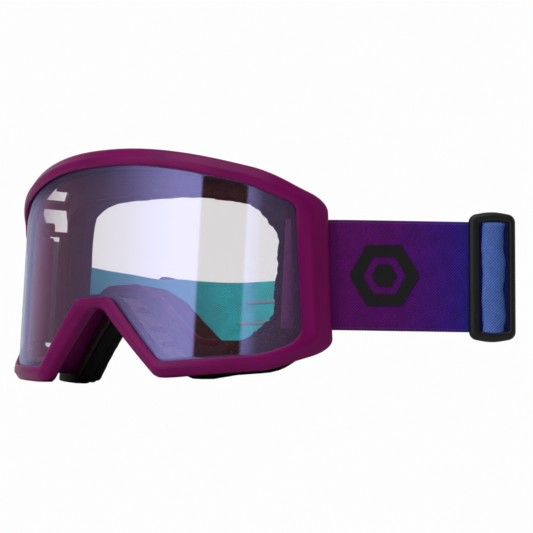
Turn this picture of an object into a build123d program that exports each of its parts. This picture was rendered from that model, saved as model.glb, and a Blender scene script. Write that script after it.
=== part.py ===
from build123d import *
import os
from math import asin, cos, degrees, radians, sin, sqrt, tan

# Ski goggles: a curved double lens in a two-piece frame, layered face foam, and an elastic strap
# on two upright posts with a length slider on each side. Millimetres, +Z up.
# Everything is laid out with the middle of the lens's outer surface at (0, 0, 0), +X along the
# width and +Y towards the wearer, and is moved to the row's origin when it is written out.

# ---- driving dimensions ----
LENS_RADIUS = 109.0      # plan radius across the face
TEMPLE_RADIUS = 59.0     # tighter plan radius towards each temple
TEMPLE_START = 67.0      # half-width where the tighter radius takes over
LEAN = tan(radians(4.33))  # how far the front leans back for each millimetre of height
FACE_RADIUS = 90.0      # plan radius of the flange and the foam
REST_LEVEL = -43.8       # the two front feet and the foam stand on this plane

LENS_THICKNESS = 1.0
LENS_GAP = 1.9           # air between the two lenses, held by the gasket
INNER_LENS_THICKNESS = 0.7
BEZEL_PROUD = 1.75       # bezel face in front of the lens
BEZEL_DEPTH = 5.4        # bezel rear behind the lens curve
GROOVE = 3.0             # how far the lens reaches under the bezel
SKIN_GAP = 0.1           # play between neighbouring mouldings
WALL = 2.2               # frame wall
FLANGE_FRONT, FLANGE_REAR = 17.0, 19.0       # at the middle of the face
FOAM_LAYERS = {"foam_base": (19.1, 25.5, 0.0), "foam_middle": (25.6, 29.6, 0.8),
               "foam_fleece": (29.7, 32.0, 1.6)}  # front, rear, inset of the rim

STRAP_TOP, STRAP_BOTTOM = 18.8, -25.2
STRAP_THICKNESS = 1.6
STRAP_DEPTH = 23.5       # front run of the right strap, in front of the turned plane's zero
RETURN_DEPTH = 16.5      # the run that comes back behind it
STRAP_TURN = 46.0        # degrees, the direction in which the right strap leaves
BACK_DROOP = 0.160       # fall of the back band for each millimetre behind DROOP_START
DROOP_START = 62.0
RISE_START, RISE_END = -36.1, 20.0   # width over which the back band rises again on the right
RISE_END_DROP, LEVEL_AGAIN = 1.5, 60.0   # its drop at RISE_END, and where it has none left
POST = (71.7, 38.6)      # right post in plan, the left one mirrored
POST_RADIUS = 1.6
SLIDER_HEIGHT, SLIDER_WIDTH, SLIDER_THICKNESS, SLIDER_BAR = 51.4, 18.2, 2.6, 3.4
SLIDER_AT = 157.2        # middle of the right slider along the right strap
SLIDER_DROP = 0.9        # the sliders hang this far below the strap's middle
FOLD_AT = 161.6          # where the right strap turns back
ROOT_START, ROOT_END = 83.0, 104.0   # the stretch of strap next to the frame that flexes
RETURN_TURN = 100.0      # where the returning run turns towards the back
NODE_GAP = 0.3           # between lengths of strap that are separate nodes

# Outlines seen from the front: right half from the top middle clockwise, (x, z, corner radius).
OUTER = [(31, 49.4, 195), (70.2, 37.8, 36), (83.9, 26.3, 11), (86, -33.5, 8), (73, -41.2, 18),
         (32.5, -44.2, 7), (3.7, -15.2, 7)]
OPENING = [(28, 42.4, 165), (63.3, 32.6, 36), (77.2, 24.7, 6), (80.4, -29.5, 9),
           (70, -35.2, 18), (33.9, -37.6, 7), (9.6, -10.9, 8)]
WALL_LINE = [(28, 44.2, 165), (58, 36.2, 24), (73.6, 25.5, 8), (74, -31, 8), (67, -38.4, 12),
             (33, -40, 6), (9.2, -13.4, 8)]
FACE_LINE = [(28, 46.5, 165), (60, 37.8, 26), (71.4, 27, 9), (72, -33, 9), (63, -42, 12),
             (33, -44.6, 6), (5, -16.5, 7)]
FOAM_LINE = [(28, 46.5, 165), (56, 38.3, 14), (67.5, 25.5, 10), (68, -26, 12), (56, -40.6, 16),
             (33, -44.6, 6), (5, -16.5, 7)]
WINDOW = [(30, 31.5, 120), (57, 27, 12), (64, 12, 12), (63.5, -20, 9), (55, -29, 9),
          (37, -28.5, 9), (20, -11.5, 12), (9, -5.5, 9)]
FOAM_WINDOW = [(30, 30.5, 120), (52, 26, 9), (60.3, 14, 9), (59.8, -19, 8), (51, -29, 8),
               (37, -28.5, 8), (20, -11.5, 12), (9, -5.5, 9)]
NOSE_PAD = [(11, -3.5), (23, -10.5), (38, -26.5), (50, -27.5), (50, -33), (36, -34.5),
            (18, -15.5), (11, -9.5)]

REACH = 130.0            # every blank runs at least this far past the object
FACE_SHARE = 0.98        # share of the face circle's half-width that the flange and foam can use
BLANK_LOW, BLANK_HIGH = -70.0, 70.0
TEMPLE_ANGLE = degrees(asin(TEMPLE_START / LENS_RADIUS))
TEMPLE_SHARE = 1 - TEMPLE_RADIUS / LENS_RADIUS
TEMPLE_CENTRE = (TEMPLE_START * TEMPLE_SHARE,
                 LENS_RADIUS - sqrt(LENS_RADIUS**2 - TEMPLE_START**2) * TEMPLE_SHARE)

made = []


# ---- building blocks ----
def leaning_plane(height, back=0.0):
    """A level plane whose origin has moved back with the lean of the front."""
    return Plane(origin=(0, back + height * LEAN, height))


def lean_extrude(low, high):
    """Raise the pending sketch from low to high along the leaning direction."""
    tall = high - low
    extrude(amount=tall * sqrt(1 + LEAN**2), dir=(0, LEAN, 1))


def behind_lens(grow=0.0, back=0.0):
    """All the space behind the lens curve, grown forwards and moved back."""
    centre_x, centre_y = TEMPLE_CENTRE
    with BuildPart() as blank:
        with BuildSketch(leaning_plane(BLANK_LOW, back)):
            with BuildLine():
                CenterArc((0, LENS_RADIUS), LENS_RADIUS + grow, 270 - TEMPLE_ANGLE, 2 * TEMPLE_ANGLE)
                right = CenterArc((centre_x, centre_y), TEMPLE_RADIUS + grow,
                                  TEMPLE_ANGLE - 90, 90 - TEMPLE_ANGLE)
                left = CenterArc((-centre_x, centre_y), TEMPLE_RADIUS + grow,
                                 180, 90 - TEMPLE_ANGLE)
                Polyline(right @ 1, (right @ 1) + Vector(0, REACH, 0),
                         (left @ 0) + Vector(0, REACH, 0), left @ 0)
            make_face()
        lean_extrude(BLANK_LOW, BLANK_HIGH)
    return blank.part


def behind_face(front):
    """All the space behind the face curve whose middle is at front."""
    edge = FACE_RADIUS * FACE_SHARE
    fall = FACE_RADIUS - sqrt(FACE_RADIUS**2 - edge**2)
    with BuildPart() as blank:
        with BuildSketch(leaning_plane(BLANK_LOW)):
            with BuildLine():
                ThreePointArc((-edge, front + fall), (0, front), (edge, front + fall))
                Polyline((edge, front + fall), (edge, REACH * 2), (-edge, REACH * 2),
                         (-edge, front + fall))
            make_face()
        lean_extrude(BLANK_LOW, BLANK_HIGH)
    return blank.part


def prism(corners, grow=0.0):
    """A front outline carried straight through from front to back."""
    closed = corners + [(-x, z, radius) for x, z, radius in reversed(corners)]
    with BuildPart() as solid:
        with BuildSketch(Plane.XZ):
            with BuildLine():
                FilletPolyline([(x, z) for x, z, _ in closed],
                               radius=[radius for _, _, radius in closed], close=True)
            make_face()
            if grow:
                offset(amount=grow)
        extrude(amount=REACH, both=True)
    return solid.part


def box_at(centre, size, turn=0.0):
    """A plain block, turned about the front-to-back line through its centre."""
    with BuildPart() as block:
        with Locations(Location(centre, (0, turn, 0))):
            Box(*size)
    return block.part


def above_rest():
    """All the space above the plane that the goggles stand on."""
    return box_at((0, REACH, REST_LEVEL + REACH), (4 * REACH, 4 * REACH, 2 * REACH))


def keep(part, name):
    """Label a finished piece and put it on the list that is written out."""
    part.label = name
    made.append(part)


def lens_y(x):
    """The lens curve's y at a half-width inside the temples."""
    return LENS_RADIUS - sqrt(LENS_RADIUS**2 - x**2)


def face_y(x, front):
    """The face curve's y at a half-width."""
    return front + FACE_RADIUS - sqrt(FACE_RADIUS**2 - x**2)


def along_strap(distance, depth):
    """A plan point on a line that runs in the right strap's direction."""
    turn = radians(STRAP_TURN)
    return (distance * cos(turn) + depth * sin(turn), distance * sin(turn) - depth * cos(turn))


def ribbon(path, low, high, thickness=STRAP_THICKNESS):
    """A straight-sided band that stands on a plan path."""
    with BuildPart() as band:
        with BuildSketch(Plane.XY.offset(low)):
            trace(path, line_width=thickness)
        extrude(amount=high - low)
    return band.part


# ---- front: outer frame, lenses, inner frame ----
with BuildPart() as outer_frame:
    add(prism(OUTER))
    add(behind_lens(grow=BEZEL_PROUD), mode=Mode.INTERSECT)
    add(behind_lens(back=BEZEL_DEPTH), mode=Mode.SUBTRACT)
    add(prism(OPENING), mode=Mode.SUBTRACT)
    add(prism(OPENING, GROOVE) & behind_lens(grow=SKIN_GAP), mode=Mode.SUBTRACT)
    add(above_rest(), mode=Mode.INTERSECT)
keep(outer_frame.part, "outer_frame")

with BuildPart() as lens_outer:
    add(prism(OPENING, GROOVE - 0.3))
    add(behind_lens(), mode=Mode.INTERSECT)
    add(behind_lens(grow=-LENS_THICKNESS), mode=Mode.SUBTRACT)
keep(lens_outer.part, "lens_outer")

gasket_front = -LENS_THICKNESS - 0.05
gasket_rear = gasket_front - LENS_GAP
with BuildPart() as lens_gasket:
    add(prism(OPENING, 1.0))
    add(prism(OPENING, -1.4), mode=Mode.SUBTRACT)
    add(behind_lens(grow=gasket_front), mode=Mode.INTERSECT)
    add(behind_lens(grow=gasket_rear), mode=Mode.SUBTRACT)
keep(lens_gasket.part, "lens_gasket")

inner_lens_front = gasket_rear - 0.05
lens_stack_rear = inner_lens_front - INNER_LENS_THICKNESS
with BuildPart() as lens_inner:
    add(prism(OPENING, 0.8))
    add(behind_lens(grow=inner_lens_front), mode=Mode.INTERSECT)
    add(behind_lens(grow=lens_stack_rear), mode=Mode.SUBTRACT)
keep(lens_inner.part, "lens_inner")

SHOULDER_FRONT = lens_stack_rear - 0.15
SHOULDER_REAR = SHOULDER_FRONT - 2.0
BOSS_HEIGHT, BOSS_RADIUS = 5.0, 3.3
LOOP_RADIUS = 3.3        # the sewn end round each post
SLOT_TOP, SLOT_BOTTOM = STRAP_TOP + 1.6, STRAP_BOTTOM - 1.6
VENTS = [  # x, z, width, height of each right-hand opening through the wall
    (13, 44, 15, 6), (33, 43, 15, 7), (51, 38.5, 11, 7), (46, -40, 12, 6), (61, -39, 9, 7)]
VENT_TURN = 14           # degrees that the upper vents follow the sloping brow
CORNER_VENT, CORNER_VENT_Y, CORNER_VENT_DEPTH, CORNER_VENT_TURN = (68.5, 30.5, 9.5, 8), 38.5, 8, 34
SLOT_X, SLOT_WIDTH, SLOT_DEPTH = 77.0, 16.0, 17.0   # opening for the strap outside each post
SLOT_BACK = 0.4          # the slot's middle lies this far behind the post
CHANNEL = STRAP_THICKNESS + 2.4   # width cut through the wall along each strap root
WALL_MARGIN = 2.6        # moulding left in front of and behind each vent

slot_height = SLOT_TOP - SLOT_BOTTOM

# The strap beside the frame: each root's route is also the channel cut through the wall for it.
LEFT_POST, LEFT_EXIT, LEFT_BEND = (-POST[0], POST[1]), (-80.2, 50.6), (-86.8, 72.0)
LEFT_ROOT_END, LEFT_ROOT_RADII = (-87.2, 86.0), [18, 30]
with BuildLine() as right_root_path:
    Line(along_strap(ROOT_START, STRAP_DEPTH), along_strap(ROOT_END, STRAP_DEPTH))
with BuildLine() as left_root_path:
    outward = (Vector(*LEFT_EXIT) - Vector(*LEFT_POST)).normalized()
    FilletPolyline(Vector(*LEFT_POST) + outward * (LOOP_RADIUS + 2.0), LEFT_EXIT, LEFT_BEND,
                   LEFT_ROOT_END, radius=LEFT_ROOT_RADII)
ROOT_PATHS = {-1: left_root_path.line, 1: right_root_path.line}


with BuildPart() as inner_frame:
    add(prism(OPENING, GROOVE - 0.4))
    add(behind_lens(grow=SHOULDER_FRONT), mode=Mode.INTERSECT)
    add(behind_lens(grow=SHOULDER_REAR), mode=Mode.SUBTRACT)
    add(prism(WALL_LINE) & (behind_lens(grow=SHOULDER_FRONT) - behind_face(FLANGE_FRONT)))
    add(prism(WALL_LINE, -WALL) & behind_lens(grow=SHOULDER_FRONT + 1), mode=Mode.SUBTRACT)
    add(prism(FACE_LINE, -0.6) & (behind_face(FLANGE_FRONT) - behind_face(FLANGE_REAR))
        - prism(WINDOW))
    for side in (-1, 1):
        for x, z, width, height in VENTS:
            front = lens_y(x) - SHOULDER_REAR + WALL_MARGIN + z * LEAN
            rear = face_y(x, FLANGE_FRONT) - WALL_MARGIN + z * LEAN
            add(box_at((side * x, (front + rear) / 2, z), (width, rear - front, height),
                       side * (VENT_TURN if z > 0 else 0)), mode=Mode.SUBTRACT)
        x, z, width, height = CORNER_VENT
        add(box_at((side * x, CORNER_VENT_Y, z), (width, CORNER_VENT_DEPTH, height),
                   side * CORNER_VENT_TURN), mode=Mode.SUBTRACT)
        add(box_at((side * SLOT_X, POST[1] + SLOT_BACK, (SLOT_TOP + SLOT_BOTTOM) / 2),
                   (SLOT_WIDTH, SLOT_DEPTH, slot_height)), mode=Mode.SUBTRACT)
        add(ribbon(ROOT_PATHS[side], SLOT_BOTTOM, SLOT_TOP, thickness=CHANNEL),
            mode=Mode.SUBTRACT)
        for low in (SLOT_TOP, SLOT_BOTTOM - BOSS_HEIGHT):
            with BuildSketch(leaning_plane(low)):
                with Locations((side * POST[0], POST[1])):
                    Circle(BOSS_RADIUS)
            lean_extrude(low, low + BOSS_HEIGHT)
        with BuildSketch(leaning_plane(SLOT_BOTTOM - BOSS_HEIGHT + 1)):
            with Locations((side * POST[0], POST[1])):
                Circle(POST_RADIUS + 0.05)
        extrude(amount=(slot_height + 2 * BOSS_HEIGHT - 2) * sqrt(1 + LEAN**2), dir=(0, LEAN, 1),
                mode=Mode.SUBTRACT)
    add(behind_lens(grow=SHOULDER_FRONT), mode=Mode.INTERSECT)
    add(above_rest(), mode=Mode.INTERSECT)
keep(inner_frame.part, "inner_frame")

# ---- face foam, nose pads and vent foam ----
for name, (front, rear, inset) in FOAM_LAYERS.items():
    with BuildPart() as layer:
        add(prism(FOAM_LINE, -inset))
        add(prism(FOAM_WINDOW, inset / 2), mode=Mode.SUBTRACT)
        add(behind_face(front), mode=Mode.INTERSECT)
        add(behind_face(rear), mode=Mode.SUBTRACT)
        add(above_rest(), mode=Mode.INTERSECT)
    keep(layer.part, name)

for name, side in (("nose_pad_left", -1), ("nose_pad_right", 1)):
    with BuildPart() as pad:
        with BuildSketch(Plane.XZ):
            Polygon(*[(side * x, z) for x, z in NOSE_PAD], align=None)
        extrude(amount=REACH, both=True)
        add(prism(WALL_LINE, -WALL - 0.2), mode=Mode.INTERSECT)
        add(behind_face(FLANGE_FRONT - 1.7), mode=Mode.INTERSECT)
        add(behind_face(FLANGE_FRONT - 0.1), mode=Mode.SUBTRACT)
    keep(pad.part, name)

VENT_FOAMS = {"vent_foam_top": (0, 42, 108, 12), "vent_foam_left": (-51, -36, 30, 7),
              "vent_foam_right": (51, -36, 30, 7)}
for name, (x, z, width, height) in VENT_FOAMS.items():
    with BuildPart() as strip:
        add(prism(WALL_LINE, -WALL - 0.1))
        add(prism(WALL_LINE, -WALL - 2.1), mode=Mode.SUBTRACT)
        add(box_at((x, 0, z), (width, 2 * REACH, height)), mode=Mode.INTERSECT)
        add(behind_lens(grow=SHOULDER_REAR - 0.2), mode=Mode.INTERSECT)
        add(behind_face(FLANGE_FRONT - 0.1), mode=Mode.SUBTRACT)
    keep(strip.part, name)

# ---- strap posts and the strap's sewn ends, which stay with the frame ----

for name, side in (("strap_post_left", -1), ("strap_post_right", 1)):
    low = SLOT_BOTTOM - BOSS_HEIGHT + 1.2
    high = SLOT_TOP + BOSS_HEIGHT - 1.2
    with BuildPart() as post:
        with BuildSketch(leaning_plane(low)):
            with Locations((side * POST[0], POST[1])):
                Circle(POST_RADIUS)
        lean_extrude(low, high)
    keep(post.part, name)

for name, side in (("strap_end_left", -1), ("strap_end_right", 1)):
    with BuildPart() as end:
        with BuildSketch(leaning_plane(STRAP_BOTTOM)):
            with Locations((side * POST[0], POST[1])):
                Circle(LOOP_RADIUS)
                Circle(POST_RADIUS + 0.15, mode=Mode.SUBTRACT)
        lean_extrude(STRAP_BOTTOM, STRAP_TOP)
    keep(end.part, name)

# ---- strap: roots beside the frame, front runs, fold and back band ----
STRAP_MIDDLE = (STRAP_TOP + STRAP_BOTTOM) / 2
LEFT_SLIDER, LEFT_CORNER, LEFT_CORNER_RADIUS = (-84.8, 149.8), (-84.4, 159.0), 9.0
RIGHT_CORNER, RIGHT_CORNER_RADIUS = (-24.0, 159.0), 30.0
BEHIND_FRAME, BEHIND_FRAME_RADIUS = (20.0, 116.5), 70.0

keep(ribbon(right_root_path.line, STRAP_BOTTOM, STRAP_TOP), "strap_root_right")
keep(ribbon(left_root_path.line, STRAP_BOTTOM, STRAP_TOP), "strap_root_left")

with BuildLine() as right_front_path:
    Line(along_strap(ROOT_END, STRAP_DEPTH), along_strap(FOLD_AT, STRAP_DEPTH))
keep(ribbon(right_front_path.line, STRAP_BOTTOM, STRAP_TOP), "strap_front_right")

RETURN_END_DEPTH, RETURN_CORNER = 2.0, 8.0
RETURN_END = along_strap(RETURN_TURN, RETURN_END_DEPTH)
with BuildLine() as right_return_path:
    fold_start = along_strap(FOLD_AT, STRAP_DEPTH)
    fold_end = along_strap(FOLD_AT, RETURN_DEPTH)
    fold_tip = along_strap(FOLD_AT + (STRAP_DEPTH - RETURN_DEPTH) / 2,
                           (STRAP_DEPTH + RETURN_DEPTH) / 2)
    ThreePointArc(fold_start, fold_tip, fold_end)
    FilletPolyline(fold_end, along_strap(RETURN_TURN, RETURN_DEPTH), RETURN_END,
                   radius=RETURN_CORNER)
keep(ribbon(right_return_path.line, STRAP_BOTTOM, STRAP_TOP), "strap_return_right")


def drooping(path, top, bottom, thickness=STRAP_THICKNESS):
    """A band on a plan path that falls towards the back and rises again on the right."""
    far = 2 * REACH
    far_drop = BACK_DROOP * (far - DROOP_START)
    back_drop = BACK_DROOP * (RIGHT_CORNER[1] - DROOP_START)
    with BuildPart() as envelope:
        with BuildSketch(Plane.YZ.offset(RISE_START)):
            Polygon((0, top), (DROOP_START, top), (far, top - far_drop), (far, bottom - far_drop),
                    (DROOP_START, bottom), (0, bottom), align=None)
        extrude(amount=-REACH)
        with BuildSketch(Plane.XZ):
            Polygon((RISE_START, top - back_drop), (RISE_END, top - RISE_END_DROP),
                    (LEVEL_AGAIN, top), (far, top), (far, bottom), (LEVEL_AGAIN, bottom),
                    (RISE_END, bottom - RISE_END_DROP), (RISE_START, bottom - back_drop),
                    align=None)
        extrude(amount=far, both=True)
    with BuildPart() as band:
        add(ribbon(path, bottom - back_drop - 1, top + 1, thickness))
        add(envelope.part, mode=Mode.INTERSECT)
    return band.part


with BuildLine() as back_path:
    FilletPolyline(along_strap(RETURN_TURN, RETURN_END_DEPTH - NODE_GAP), BEHIND_FRAME,
                   RIGHT_CORNER, LEFT_CORNER, LEFT_SLIDER,
                   radius=[BEHIND_FRAME_RADIUS, RIGHT_CORNER_RADIUS, LEFT_CORNER_RADIUS])
keep(drooping(back_path.line, STRAP_TOP, STRAP_BOTTOM), "strap_back")

with BuildLine() as left_front_path:
    Line(Vector(*LEFT_ROOT_END) + (0, NODE_GAP, 0), Vector(*LEFT_SLIDER) - (0, NODE_GAP, 0))
keep(drooping(left_front_path.line, STRAP_TOP, STRAP_BOTTOM), "strap_front_left")

# Silicone lines on the inner face of the back band, on the band's own route moved inwards.
GRIP_HEIGHT, GRIP_PROUD, GRIP_LINES, GRIP_PITCH = 2.0, 0.4, 3, 11.0
GRIP_END_SHARE, GRIP_LEFT_END = 0.18, -72.0   # share of the sloping run that they reach along
grip_offset = (STRAP_THICKNESS + GRIP_PROUD) / 2 + 0.05
sloping_run = Vector(*BEHIND_FRAME) - Vector(*RIGHT_CORNER)
inward = Vector(-sloping_run.Y, sloping_run.X).normalized() * -grip_offset
half_bend = radians(Vector(1, 0).get_angle(sloping_run)) / 2
grip_corner = Vector(RIGHT_CORNER[0] - grip_offset * tan(half_bend),
                     RIGHT_CORNER[1] - grip_offset)
with BuildLine() as grip_path:
    FilletPolyline(Vector(*RIGHT_CORNER) + inward + sloping_run * (1 - GRIP_END_SHARE),
                   grip_corner, (GRIP_LEFT_END, RIGHT_CORNER[1] - grip_offset),
                   radius=RIGHT_CORNER_RADIUS - grip_offset)
with BuildPart() as grip_strips:
    for line in range(GRIP_LINES):
        level = STRAP_MIDDLE + (line - (GRIP_LINES - 1) / 2) * GRIP_PITCH
        add(drooping(grip_path.line, level + GRIP_HEIGHT / 2, level - GRIP_HEIGHT / 2, GRIP_PROUD))
keep(grip_strips.part, "grip_strips")

# ---- what sits on the strap ----
BADGE_AT, BADGE_RADIUS, BADGE_THICKNESS, BADGE_CORNER = 114.5, 14.0, 0.3, 1.5
BADGE_HOLE, BADGE_DOT = 0.62, 0.36   # as shares of BADGE_RADIUS
badge_plane = Plane(origin=(*along_strap(BADGE_AT, STRAP_DEPTH + STRAP_THICKNESS / 2 + 0.05),
                            STRAP_MIDDLE),
                    x_dir=(cos(radians(STRAP_TURN)), sin(radians(STRAP_TURN)), 0),
                    z_dir=(sin(radians(STRAP_TURN)), -cos(radians(STRAP_TURN)), 0))
with BuildPart() as strap_badge:
    with BuildSketch(badge_plane):
        RegularPolygon(BADGE_RADIUS, 6)
        fillet(vertices(), radius=BADGE_CORNER)
        RegularPolygon(BADGE_RADIUS * BADGE_HOLE, 6, mode=Mode.SUBTRACT)
        RegularPolygon(BADGE_RADIUS * BADGE_DOT, 6)
    extrude(amount=BADGE_THICKNESS)
keep(strap_badge.part, "strap_badge")

LOOP_WIDTH, LOOP_THICKNESS, LOOP_EDGE_RADIUS, CENTRE_BAR = 9.0, 2.2, 1.8, 3.0
SLIDER_GAP = 0.35


def slider_plane(place, direction, outward):
    """A slider's own plane: x along the strap, z out of its face."""
    return Plane(origin=(*place, 0), x_dir=direction, z_dir=outward)


def make_slider(side_name, plane):
    """A moulded ring with a centre bar, and the sewn loop of strap round that bar."""
    ring_plane = plane.offset(STRAP_THICKNESS / 2 + SLIDER_GAP)
    with BuildPart() as ring:
        with BuildSketch(ring_plane):
            RectangleRounded(SLIDER_WIDTH, SLIDER_HEIGHT, 4)
            RectangleRounded(SLIDER_WIDTH - 2 * SLIDER_BAR, SLIDER_HEIGHT - 2 * SLIDER_BAR, 1.2,
                             mode=Mode.SUBTRACT)
            Rectangle(CENTRE_BAR, SLIDER_HEIGHT - SLIDER_BAR)
        extrude(amount=SLIDER_THICKNESS)
        with BuildSketch(ring_plane.offset(CENTRE_BAR / 2)):
            Rectangle(CENTRE_BAR + 1, SLIDER_HEIGHT - 2 * SLIDER_BAR - 0.2)
        extrude(amount=SLIDER_THICKNESS, mode=Mode.SUBTRACT)
    keep(ring.part, f"slider_{side_name}")
    with BuildPart() as loop:
        with BuildSketch(ring_plane.offset(CENTRE_BAR / 2 + 0.05)):
            Rectangle(LOOP_WIDTH, STRAP_TOP - STRAP_BOTTOM - 0.4)
        extrude(amount=LOOP_THICKNESS)
        upright_edges = loop.edges().filter_by(Axis(plane.origin, plane.y_dir))
        fillet(upright_edges.sort_by(Axis(plane.origin, plane.z_dir))[-2:],
               radius=LOOP_EDGE_RADIUS)
    keep(loop.part, f"slider_loop_{side_name}")


strap_turn = radians(STRAP_TURN)
right_plane = Plane(origin=(*along_strap(SLIDER_AT, STRAP_DEPTH), STRAP_MIDDLE - SLIDER_DROP),
                    x_dir=(cos(strap_turn), sin(strap_turn), 0),
                    z_dir=(sin(strap_turn), -cos(strap_turn), 0))
make_slider("right", right_plane)

left_run = (Vector(*LEFT_SLIDER) - Vector(*LEFT_ROOT_END)).normalized()
slope = BACK_DROOP * left_run.Y
left_slide = Vector(left_run.X, left_run.Y, -slope).normalized()
left_middle = Vector(*LEFT_SLIDER) - left_run * (SLIDER_WIDTH / 2 + 0.5)
left_level = STRAP_MIDDLE - SLIDER_DROP - BACK_DROOP * (left_middle.Y - DROOP_START)
left_plane = Plane(origin=(left_middle.X, left_middle.Y, left_level), x_dir=left_slide,
                   z_dir=(-left_run.Y, left_run.X, 0))
make_slider("left", left_plane)

# ---- write the pieces out round the row's origin ----
whole = Compound(children=[Compound(piece.wrapped) for piece in made]).bounding_box()
origin = Vector(whole.center().X, whole.center().Y, whole.min.Z)
print("origin", origin, "size", whole.size, "pieces", len(made))
print("hinge", Vector(0, POST[1], STRAP_MIDDLE) - origin, "left slide", left_slide)

os.makedirs("parts", exist_ok=True)
for piece in made:
    placed = piece.moved(Location(-origin))
    placed.label = piece.label
    export_step(placed, f"parts/{piece.label}.step")
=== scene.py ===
from functools import partial
from math import asin, atan2, cos, pi, radians, sin, sqrt, tan

import bmesh
import bpy
import numpy as np
from mathutils import Matrix, Vector


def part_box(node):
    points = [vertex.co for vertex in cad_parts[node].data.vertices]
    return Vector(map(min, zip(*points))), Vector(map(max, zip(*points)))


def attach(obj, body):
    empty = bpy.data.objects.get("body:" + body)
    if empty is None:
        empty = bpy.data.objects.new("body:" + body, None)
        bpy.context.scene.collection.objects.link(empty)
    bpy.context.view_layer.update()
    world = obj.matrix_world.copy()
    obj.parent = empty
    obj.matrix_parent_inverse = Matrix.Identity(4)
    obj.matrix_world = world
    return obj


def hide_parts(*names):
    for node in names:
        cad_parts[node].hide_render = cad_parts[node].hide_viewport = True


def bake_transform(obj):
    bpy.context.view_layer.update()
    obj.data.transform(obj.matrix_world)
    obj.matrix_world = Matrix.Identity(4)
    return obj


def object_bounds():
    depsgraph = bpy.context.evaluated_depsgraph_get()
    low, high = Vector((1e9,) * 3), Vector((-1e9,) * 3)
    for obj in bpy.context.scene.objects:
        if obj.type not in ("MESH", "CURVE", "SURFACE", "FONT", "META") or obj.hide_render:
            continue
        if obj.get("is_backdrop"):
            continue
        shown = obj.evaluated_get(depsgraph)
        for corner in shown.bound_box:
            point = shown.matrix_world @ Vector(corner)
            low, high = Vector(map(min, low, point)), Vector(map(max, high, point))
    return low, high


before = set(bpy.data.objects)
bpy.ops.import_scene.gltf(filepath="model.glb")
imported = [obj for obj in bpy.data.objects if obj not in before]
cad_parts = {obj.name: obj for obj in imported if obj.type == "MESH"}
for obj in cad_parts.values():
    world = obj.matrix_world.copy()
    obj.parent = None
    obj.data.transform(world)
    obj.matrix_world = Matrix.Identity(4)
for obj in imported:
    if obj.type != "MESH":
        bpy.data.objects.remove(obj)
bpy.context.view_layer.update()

# Shapes are worked out in millimetres with the middle of the lens's outer surface at (0, 0, 0),
# +X along the width and +Y towards the wearer. place() turns them into the row frame's metres.
MM = 0.001
LEAN = tan(radians(4.33))
LENS_RADIUS, TEMPLE_RADIUS, TEMPLE_START, FACE_RADIUS = 109.0, 59.0, 67.0, 90.0
REST_LEVEL = -43.8
STRAP_MIDDLE, STRAP_WIDTH, STRAP_THICKNESS = -3.2, 44.0, 1.6
STRAP_TURN, STRAP_DEPTH, RETURN_DEPTH = radians(46.0), 23.5, 16.5
FOLD_AT, SLIDER_AT, RETURN_TURN = 161.6, 157.2, 100.0
DROOP, DROOP_START = 0.160, 62.0
POST = Vector((71.7, 38.6))

frame_low, frame_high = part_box("outer_frame")
post_low, post_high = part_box("strap_post_right")
ORIGIN = Vector((
    (frame_low.x + frame_high.x) / 2,
    (post_low.y + post_high.y) / 2 - (POST.y + STRAP_MIDDLE * LEAN) * MM,
    frame_low.z - REST_LEVEL * MM))

# Outlines seen from the front: right half from the top middle clockwise, (x, z, corner radius).
OUTER = [(31, 49.4, 195), (70.2, 37.8, 36), (83.9, 26.3, 11), (86, -33.5, 8), (73, -41.2, 18),
         (32.5, -44.2, 7), (3.7, -15.2, 7)]
OPENING = [(28, 42.4, 165), (63.3, 32.6, 36), (77.2, 24.7, 6), (80.4, -29.5, 9),
           (70, -35.2, 18), (33.9, -37.6, 7), (9.6, -10.9, 8)]
WALL_LINE = [(28, 44.2, 165), (58, 36.2, 24), (73.6, 25.5, 8), (74, -31, 8), (67, -38.4, 12),
             (33, -40, 6), (9.2, -13.4, 8)]
FACE_LINE = [(28, 46.5, 165), (60, 37.8, 26), (71.4, 27, 9), (72, -33, 9), (63, -42, 12),
             (33, -44.6, 6), (5, -16.5, 7)]
FOAM_LINE = [(28, 46.5, 165), (56, 38.3, 14), (67.5, 25.5, 10), (68, -26, 12), (56, -40.6, 16),
             (33, -44.6, 6), (5, -16.5, 7)]
WINDOW = [(30, 31.5, 120), (57, 27, 12), (64, 12, 12), (63.5, -20, 9), (55, -29, 9),
          (37, -28.5, 9), (20, -11.5, 12), (9, -5.5, 9)]
FOAM_WINDOW = [(30, 30.5, 120), (52, 26, 9), (60.3, 14, 9), (59.8, -19, 8), (51, -29, 8),
               (37, -28.5, 8), (20, -11.5, 12), (9, -5.5, 9)]


def place(points):
    """Design millimetres to the row frame's metres."""
    return [ORIGIN + Vector(p) * MM for p in points]


# ---- camera and light ----
def direction(azimuth, elevation):
    a, e = radians(azimuth), radians(elevation)
    return Vector((sin(a) * cos(e), -cos(a) * cos(e), sin(e)))


def aim(thing, place_at, target):
    thing.location = place_at
    thing.rotation_mode = "QUATERNION"
    thing.rotation_quaternion = (target - place_at).to_track_quat("-Z", "Y")


CAMERA_AZIMUTH, CAMERA_ELEVATION, CAMERA_DISTANCE, FOCAL_LENGTH = 46.0, -4.0, 1.3, 217.6
camera = bpy.data.objects.new("camera", bpy.data.cameras.new("camera"))
bpy.context.scene.collection.objects.link(camera)
bpy.context.scene.camera = camera
camera.data.sensor_width = 36.0
camera.data.lens = FOCAL_LENGTH
camera.data.clip_start = 0.05
back = direction(CAMERA_AZIMUTH, CAMERA_ELEVATION)
right = Vector((cos(radians(CAMERA_AZIMUTH)), sin(radians(CAMERA_AZIMUTH)), 0))
up = back.cross(right)
AIM_RIGHT, AIM_UP = 0.06895, 0.00198
aim(camera, ORIGIN + back * CAMERA_DISTANCE, ORIGIN + right * AIM_RIGHT + up * AIM_UP)


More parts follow.
